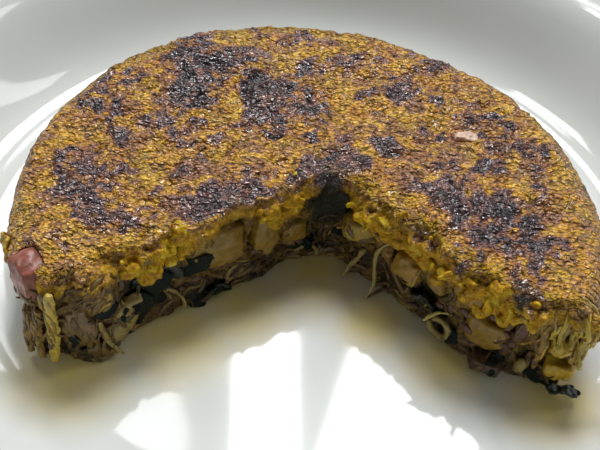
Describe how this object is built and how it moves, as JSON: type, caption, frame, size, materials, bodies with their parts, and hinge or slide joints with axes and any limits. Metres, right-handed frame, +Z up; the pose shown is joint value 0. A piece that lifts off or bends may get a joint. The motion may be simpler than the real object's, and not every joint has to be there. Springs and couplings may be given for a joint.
{
  "type": "sauerkraut omelette",
  "caption": "Round potato and sauerkraut omelette with a browned crust and a wedge cut out, served on a deep white glazed plate.",
  "frame": {"origin": "centre of the plate's foot ring, on the table", "axes": "+Z up from the table; the missing wedge opens towards -Y and +X is to its right"},
  "size_m": [0.286, 0.286, 0.0434],
  "materials": {
    "glaze": "gloss",
    "crust": "matte",
    "potato": "satin",
    "potato_yellow": "satin",
    "ham": "satin",
    "ham_browned": "satin",
    "kraut": "satin",
    "kraut_browned": "satin",
    "egg": "satin",
    "leaf": "satin",
    "onion": "satin"
  },
  "bodies": {
    "root": {"plate": "glaze", "omelette": "crust", "potato_left_wide": "potato", "potato_left_tall": "potato", "potato_left_apex": "potato", "potato_left_end": "kraut_browned", "potato_right_apex": "potato_yellow", "potato_right_upper": "potato_yellow", "potato_right_brown": "potato", "potato_right_yellow": "potato_yellow", "potato_right_large": "potato", "ham_left_end": "ham", "ham_right_sliver": "ham_browned", "ham_right_base": "ham_browned", "onion_on_crust": "onion", "cabbage_slice_left": "kraut", "leaf_left_upper": "leaf", "leaf_left_base": "leaf", "leaf_right_middle": "leaf", "leaf_right_base": "leaf", "leek_ring_right": "kraut", "kraut_drop_right": "kraut", "egg_crumb_right": "egg", "egg_lump_right_base": "egg", "egg_flap_left": "egg", "kraut_left_outer": "kraut_browned", "kraut_left_middle": "kraut_browned", "egg_strip_left": "egg", "kraut_left_thin": "kraut", "kraut_left_low": "kraut", "kraut_apex_loop": "kraut", "kraut_apex_right": "kraut", "kraut_hanging": "kraut", "kraut_right_tip": "kraut", "kraut_right_inner": "kraut_browned", "kraut_right_outer": "kraut_browned", "kraut_right_edge": "egg"}
  },
  "joints": []
}
